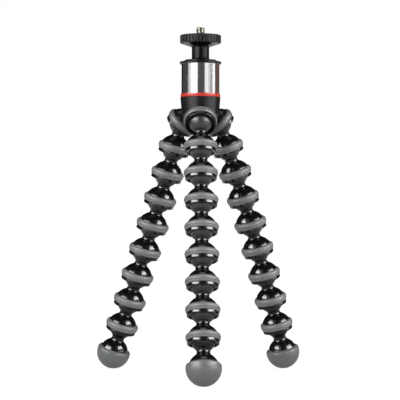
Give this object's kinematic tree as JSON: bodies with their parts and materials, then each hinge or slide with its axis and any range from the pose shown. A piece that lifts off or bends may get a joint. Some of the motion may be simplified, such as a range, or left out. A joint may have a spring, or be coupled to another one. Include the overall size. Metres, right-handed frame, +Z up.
{
  "type": "flexible leg tripod",
  "caption": "Tabletop camera tripod: a locking ball head with a threaded camera screw on legs of snap-together ball-and-socket links with rubber grip rings and round rubber feet.",
  "frame": {"origin": "on the axis of the ball head, at the height of the lock ring's top, where the camera sits", "axes": "+Z up along the camera screw, -Y towards the front leg, +X towards the right leg's side"},
  "size_m": [0.1469, 0.135, 0.2432],
  "materials": {
    "black_plastic": "satin moulded plastic",
    "gloss_black_plastic": "glossy moulded plastic",
    "polished_steel": "polished",
    "screw_steel": "plated",
    "spring_steel": "blued",
    "brass": "turned",
    "red_plastic": "glossy",
    "seat_plastic": "slippery",
    "grey_rubber": "matte"
  },
  "bodies": {
    "hub": {"hub": "black_plastic", "hub_grip_rings": "grey_rubber", "hub_bolt": "screw_steel", "red_ring": "red_plastic", "steel_sleeve": "polished_steel", "head_housing": "black_plastic", "top_cap": "black_plastic", "ball_seat": "seat_plastic", "disc_spring": "spring_steel"},
    "head_ball": {"head_ball": "black_plastic"},
    "neck_post": {"neck_post": "black_plastic", "camera_screw": "screw_steel"},
    "lock_nut": {"lock_nut": "brass"},
    "lock_ring": {"lock_ring": "black_plastic"},
    "front_link_1": {"front_link_1": "gloss_black_plastic"},
    "front_link_2": {"front_link_2": "gloss_black_plastic"},
    "front_link_3": {"front_link_3": "gloss_black_plastic"},
    "front_link_4": {"front_link_4": "gloss_black_plastic"},
    "front_link_5": {"front_link_5": "gloss_black_plastic"},
    "front_link_6": {"front_link_6": "gloss_black_plastic"},
    "front_link_7": {"front_link_7": "gloss_black_plastic"},
    "front_link_8": {"front_link_8": "gloss_black_plastic"},
    "front_foot": {"front_foot_core": "gloss_black_plastic", "front_foot_pad": "grey_rubber"},
    "left_link_1": {"left_link_1": "gloss_black_plastic"},
    "left_link_2": {"left_link_2": "gloss_black_plastic"},
    "left_link_3": {"left_link_3": "gloss_black_plastic"},
    "left_link_4": {"left_link_4": "gloss_black_plastic"},
    "left_link_5": {"left_link_5": "gloss_black_plastic"},
    "left_link_6": {"left_link_6": "gloss_black_plastic"},
    "left_link_7": {"left_link_7": "gloss_black_plastic"},
    "left_link_8": {"left_link_8": "gloss_black_plastic"},
    "left_foot": {"left_foot_core": "gloss_black_plastic", "left_foot_pad": "grey_rubber"},
    "right_link_1": {"right_link_1": "gloss_black_plastic"},
    "right_link_2": {"right_link_2": "gloss_black_plastic"},
    "right_link_3": {"right_link_3": "gloss_black_plastic"},
    "right_link_4": {"right_link_4": "gloss_black_plastic"},
    "right_link_5": {"right_link_5": "gloss_black_plastic"},
    "right_link_6": {"right_link_6": "gloss_black_plastic"},
    "right_link_7": {"right_link_7": "gloss_black_plastic"},
    "right_link_8": {"right_link_8": "gloss_black_plastic"},
    "right_foot": {"right_foot_core": "gloss_black_plastic", "right_foot_pad": "grey_rubber"}
  },
  "joints": [
    {"name": "head_tilt", "type": "hinge", "parent": "hub", "child": "head_ball", "pos_m": [0, 0, -0.0226], "axis": [-1, 0, 0], "range_deg": [-10, 90]},
    {"name": "head_pan", "type": "hinge", "parent": "head_ball", "child": "neck_post", "pos_m": [0, 0, -0.0226], "axis": [0, 0, 1], "continuous": true},
    {"name": "lock_slide", "type": "slide", "parent": "neck_post", "child": "lock_nut", "axis": [0, 0, 1], "range_m": [0, 0.00187]},
    {"name": "lock_turn", "type": "hinge", "parent": "lock_nut", "child": "lock_ring", "pos_m": [0, 0, 0], "axis": [0, 0, 1], "range_deg": [0, 540]},
    {"name": "front_ball_1", "type": "hinge", "parent": "hub", "child": "front_link_1", "pos_m": [0, -0.0155, -0.06165], "axis": [-0.999, -0.0436, 0], "range_deg": [-2, 64]},
    {"name": "front_ball_2", "type": "hinge", "parent": "front_link_1", "child": "front_link_2", "pos_m": [0.00022, -0.02047, -0.0803], "axis": [-0.0419, 0.9607, -0.2745], "range_deg": [-31, 31]},
    {"name": "front_ball_3", "type": "hinge", "parent": "front_link_2", "child": "front_link_3", "pos_m": [0.00045, -0.02576, -0.09886], "axis": [0.999, 0.0436, 0], "range_deg": [-31, 31]},
    {"name": "front_ball_4", "type": "hinge", "parent": "front_link_3", "child": "front_link_4", "pos_m": [0.00069, -0.03138, -0.11732], "axis": [0.0415, -0.9505, 0.3079], "range_deg": [-31, 31]},
    {"name": "front_ball_5", "type": "hinge", "parent": "front_link_4", "child": "front_link_5", "pos_m": [0.00095, -0.03731, -0.13568], "axis": [-0.999, -0.0436, 0], "range_deg": [-31, 31]},
    {"name": "front_ball_6", "type": "hinge", "parent": "front_link_5", "child": "front_link_6", "pos_m": [0.00123, -0.04357, -0.15394], "axis": [-0.041, 0.9392, -0.3409], "range_deg": [-31, 31]},
    {"name": "front_ball_7", "type": "hinge", "parent": "front_link_6", "child": "front_link_7", "pos_m": [0.00151, -0.05014, -0.17208], "axis": [0.999, 0.0436, 0], "range_deg": [-31, 31]},
    {"name": "front_ball_8", "type": "hinge", "parent": "front_link_7", "child": "front_link_8", "pos_m": [0.00181, -0.05703, -0.19011], "axis": [0.0405, -0.9268, 0.3735], "range_deg": [-31, 31]},
    {"name": "front_ball_9", "type": "hinge", "parent": "front_link_8", "child": "front_foot", "pos_m": [0.00213, -0.06423, -0.20801], "axis": [-0.999, -0.0436, 0], "range_deg": [-31, 31]},
    {"name": "left_ball_1", "type": "hinge", "parent": "hub", "child": "left_link_1", "pos_m": [-0.01342, 0.00775, -0.06165], "axis": [0.5, 0.866, 0], "range_deg": [-5, 61]},
    {"name": "left_ball_2", "type": "hinge", "parent": "left_link_1", "child": "left_link_2", "pos_m": [-0.01856, 0.01071, -0.08002], "axis": [0.8228, -0.475, -0.3121], "range_deg": [-31, 31]},
    {"name": "left_ball_3", "type": "hinge", "parent": "left_link_2", "child": "left_link_3", "pos_m": [-0.02377, 0.01373, -0.09835], "axis": [-0.5, -0.866, 0], "range_deg": [-31, 31]},
    {"name": "left_ball_4", "type": "hinge", "parent": "left_link_3", "child": "left_link_4", "pos_m": [-0.02907, 0.01678, -0.11666], "axis": [-0.8199, 0.4734, 0.322], "range_deg": [-31, 31]},
    {"name": "left_ball_5", "type": "hinge", "parent": "left_link_4", "child": "left_link_5", "pos_m": [-0.03445, 0.01989, -0.13493], "axis": [0.5, 0.866, 0], "range_deg": [-31, 31]},
    {"name": "left_ball_6", "type": "hinge", "parent": "left_link_5", "child": "left_link_6", "pos_m": [-0.03992, 0.02305, -0.15317], "axis": [0.8169, -0.4717, -0.3319], "range_deg": [-31, 31]},
    {"name": "left_ball_7", "type": "hinge", "parent": "left_link_6", "child": "left_link_7", "pos_m": [-0.04547, 0.02625, -0.17137], "axis": [-0.5, -0.866, 0], "range_deg": [-31, 31]},
    {"name": "left_ball_8", "type": "hinge", "parent": "left_link_7", "child": "left_link_8", "pos_m": [-0.0511, 0.0295, -0.18955], "axis": [-0.8139, 0.4699, 0.3418], "range_deg": [-31, 31]},
    {"name": "left_ball_9", "type": "hinge", "parent": "left_link_8", "child": "left_foot", "pos_m": [-0.05681, 0.0328, -0.20769], "axis": [0.5, 0.866, 0], "range_deg": [-31, 31]},
    {"name": "right_ball_1", "type": "hinge", "parent": "hub", "child": "right_link_1", "pos_m": [0.01342, 0.00775, -0.06165], "axis": [0.5592, -0.829, 0], "range_deg": [-9, 57]},
    {"name": "right_ball_2", "type": "hinge", "parent": "right_link_1", "child": "right_link_2", "pos_m": [0.01947, 0.01183, -0.07952], "axis": [-0.7719, -0.5207, -0.3647], "range_deg": [-31, 31]},
    {"name": "right_ball_3", "type": "hinge", "parent": "right_link_2", "child": "right_link_3", "pos_m": [0.0253, 0.01576, -0.09749], "axis": [-0.5592, 0.829, 0], "range_deg": [-31, 31]},
    {"name": "right_ball_4", "type": "hinge", "parent": "right_link_3", "child": "right_link_4", "pos_m": [0.03093, 0.01956, -0.11556], "axis": [0.7801, 0.5262, 0.3386], "range_deg": [-31, 31]},
    {"name": "right_ball_5", "type": "hinge", "parent": "right_link_4", "child": "right_link_5", "pos_m": [0.03635, 0.02321, -0.13372], "axis": [0.5592, -0.829, 0], "range_deg": [-31, 31]},
    {"name": "right_ball_6", "type": "hinge", "parent": "right_link_5", "child": "right_link_6", "pos_m": [0.04156, 0.02673, -0.15197], "axis": [-0.7876, -0.5312, -0.3122], "range_deg": [-31, 31]},
    {"name": "right_ball_7", "type": "hinge", "parent": "right_link_6", "child": "right_link_7", "pos_m": [0.04655, 0.03009, -0.1703], "axis": [-0.5592, 0.829, 0], "range_deg": [-31, 31]},
    {"name": "right_ball_8", "type": "hinge", "parent": "right_link_7", "child": "right_link_8", "pos_m": [0.05133, 0.03332, -0.18872], "axis": [0.7945, 0.5359, 0.2856], "range_deg": [-31, 31]},
    {"name": "right_ball_9", "type": "hinge", "parent": "right_link_8", "child": "right_foot", "pos_m": [0.0559, 0.0364, -0.20722], "axis": [0.5592, -0.829, 0], "range_deg": [-31, 31]}
  ],
  "couplings": [
    {"joint": "lock_turn", "follows": "lock_slide", "rad_per_m": 5026.5}
  ]
}
